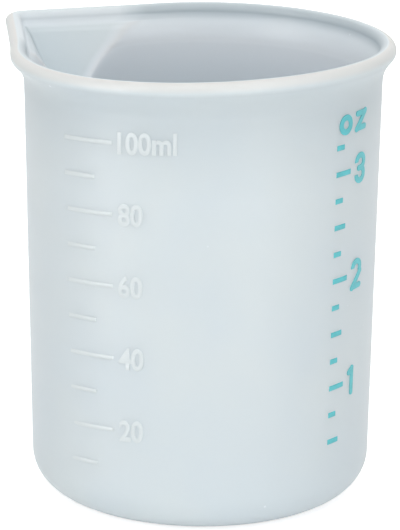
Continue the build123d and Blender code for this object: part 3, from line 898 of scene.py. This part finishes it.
class MIXCUP_OT_print_scale(bpy.types.Operator):
    """Prints the fluid-ounce scale on the wall: ticks at quarter ounces, numbers at whole ones"""
    bl_idname = "mixcup.print_scale"
    bl_label = "Print Ounce Scale"

    def execute(self, context):
        sizes = context.scene.cup_printed_scale
        finish = context.scene.cup_finish
        form = CupForm(context.scene.cup_moulding)
        material = ink_material("teal_silicone_ink", finish.ink)
        column = sizes.whole_length + sizes.numeral_gap + sizes.numeral_width
        parts = range(sizes.first_part, sizes.last_part + 1)
        heights = {part: form.fill_height(OUNCE * part / OUNCE_PARTS) for part in parts}
        rows = {
            "whole": ([part for part in parts if part % OUNCE_PARTS == 0], sizes.whole_length),
            "half": ([part for part in parts if part % OUNCE_PARTS == OUNCE_PARTS / 2], sizes.half_length),
            "quarter": ([part for part in parts if part % 2], sizes.quarter_length),
        }
        values = wall_values(form, sizes.bearing, material)
        for kind, (marks, reach) in rows.items():
            points = mark_points(f"{kind}_ounce_points", [heights[part] for part in marks])
            points.transform(Matrix.Translation((-column / 2, 0, 0)))
            ticks = grow(f"printed_{kind}_ounce_ticks", points, tick_tree(), {
                **values,
                "Length": reach,
                "Height": sizes.tick_height,
                "Relief": sizes.film,
                "Sink": sizes.film,
                "Left Relief": 1.0,
                "Dome": sizes.dome,
            })
            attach(ticks, "root")
            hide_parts(f"{kind}_ounce_ticks")
        # The frame's own numbers and unit have the right shape, so they only take the ink
        lettering = [node for name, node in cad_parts.items() if name.startswith("ounce_")]
        if not lettering:
            raise RuntimeError("the frame has no printed numbers to ink")
        for node in lettering:
            for held in node.material_slots:
                held.material = material
        return {"FINISHED"}


class MIXCUP_OT_set_stage(bpy.types.Operator):
    """Lays the floor, hangs the lamps and sets the camera"""
    bl_idname = "mixcup.set_stage"
    bl_label = "Set Stage"

    def execute(self, context):
        stage = context.scene.cup_stage
        finish = context.scene.cup_finish
        scene = context.scene

        floor_mesh = bpy.data.meshes.new("studio_floor")
        around = ((-1, -1), (1, -1), (1, 1), (-1, 1))
        corners = [(x * FLOOR_REACH, y * FLOOR_REACH, -FLOOR_DROP) for x, y in around]
        floor_mesh.from_pydata(corners, [], [(0, 1, 2, 3)])
        floor = bpy.data.objects.new("studio_floor", floor_mesh)
        scene.collection.objects.link(floor)
        material = bpy.data.materials.new("matt_white_sweep")
        material.use_nodes = True
        tree = material.node_tree
        tree.nodes.clear()
        lift = add(tree, MATH, (seen_plainly(tree), FLOOR_GLOW), operation="MULTIPLY")
        paint = add(tree, "ShaderNodeBsdfDiffuse", {"Color": finish.floor})
        glow = add(tree, "ShaderNodeEmission", {"Strength": lift})
        both = add(tree, "ShaderNodeAddShader", (paint, glow))
        add(tree, "ShaderNodeOutputMaterial", (both,))
        floor_mesh.materials.append(material)

        world = bpy.data.worlds.new("white_studio")
        scene.world = world
        world.use_nodes = True
        tree = world.node_tree
        tree.nodes.clear()
        strength = add(tree, "ShaderNodeMapRange", (seen_plainly(tree), 0.0, 1.0, SKY_LIGHT, 1.0))
        sky = add(tree, "ShaderNodeBackground", {"Color": (1.0, 1.0, 1.0, 1.0), "Strength": strength})
        add(tree, "ShaderNodeOutputWorld", (sky,))

        # Bearing from the camera's side, elevation, width, height and power of each softbox
        lamps = {
            "left_strip": (-18, 0, 0.4, 0.07, 1.5),
            "right_strip": (26, 0, 0.4, 0.07, 1.2),
            "high_softbox": (-25, 32, 0.5, 0.3, 0.5),
            "ceiling_softbox": (0, 80, 1.0, 1.0, 5.5),
            "back_softbox": (180, 30, 0.8, 0.5, 0.8),
            "left_sheen_strip": (-58, 0, 0.2, 0.06, 11.0),
            "left_sheen_softbox": (-60, 26, 0.2, 0.16, 8.0),
            "right_sheen_strip": (34, 0, 0.2, 0.06, 5.0),
            "right_sheen_softbox": (34, 26, 0.12, 0.16, 5.5),
        }
        for name, (bearing, elevation, width, tall, power) in lamps.items():
            lamp = bpy.data.lights.new(name, "AREA")
            lamp.shape = "RECTANGLE"
            lamp.size = width
            lamp.size_y = tall
            lamp.energy = power
            holder = bpy.data.objects.new(name, lamp)
            # The sheen lamps shine in the satin surface and light nothing else
            holder.visible_diffuse = "sheen" not in name
            scene.collection.objects.link(holder)
            turn = stage.azimuth + radians(bearing - 90)
            up = radians(elevation)
            away = Vector((cos(turn) * cos(up), sin(turn) * cos(up), sin(up))) * LAMP_DISTANCE
            aim = away.to_track_quat("Z", "Y").to_matrix().to_4x4()
            holder.matrix_world = Matrix.Translation(away + Vector((0, 0, CUP_HIGH.z / 2))) @ aim

        lens = bpy.data.cameras.new("photo_camera")
        lens.sensor_fit = "AUTO"
        lens.lens = stage.focal_pixels * lens.sensor_width / stage.picture_height
        lens.clip_start = 0.05
        camera = bpy.data.objects.new("photo_camera", lens)
        scene.collection.objects.link(camera)
        back = stage.distance * cos(stage.elevation)
        rise = stage.distance * sin(stage.elevation)
        position = Vector((0, -back, stage.target_height + rise))
        target = Vector((stage.target_shift, 0, stage.target_height))
        looking = (target - position).to_track_quat("-Z", "Y").to_matrix().to_4x4()
        camera.matrix_world = (
            Matrix.Rotation(stage.azimuth, 4, "Z")
            @ Matrix.Translation(position)
            @ looking
            @ Matrix.Rotation(stage.roll, 4, "Z")
        )
        scene.camera = camera
        scene.view_settings.view_transform = "Standard"
        return {"FINISHED"}


class MIXCUP_PT_sidebar(bpy.types.Panel):
    """Lists the steps and their sizes"""
    bl_idname = "MIXCUP_PT_sidebar"
    bl_label = "Mixing Cup"
    bl_space_type = "VIEW_3D"
    bl_region_type = "UI"
    bl_category = "Mixing Cup"

    def draw(self, context):
        for step in STEPS:
            self.layout.operator(step.bl_idname)
        for name, settings in SETTINGS.items():
            box = self.layout.box()
            group = getattr(context.scene, name)
            box.label(text=settings.__doc__)
            for size in settings.__annotations__:
                box.prop(group, size)


STEPS = (MIXCUP_OT_mould_cup, MIXCUP_OT_raise_scale, MIXCUP_OT_print_scale, MIXCUP_OT_set_stage)
CLASSES = (*SETTINGS.values(), *STEPS, MIXCUP_PT_sidebar)


def register():
    for kind in CLASSES:
        bpy.utils.register_class(kind)
    for name, settings in SETTINGS.items():
        setattr(bpy.types.Scene, name, PointerProperty(type=settings))


def unregister():
    for name in SETTINGS:
        delattr(bpy.types.Scene, name)
    for kind in reversed(CLASSES):
        bpy.utils.unregister_class(kind)


def main():
    register()
    bpy.ops.mixcup.mould_cup()
    bpy.ops.mixcup.raise_scale()
    bpy.ops.mixcup.print_scale()
    bpy.ops.mixcup.set_stage()


if __name__ == "__main__":
    main()
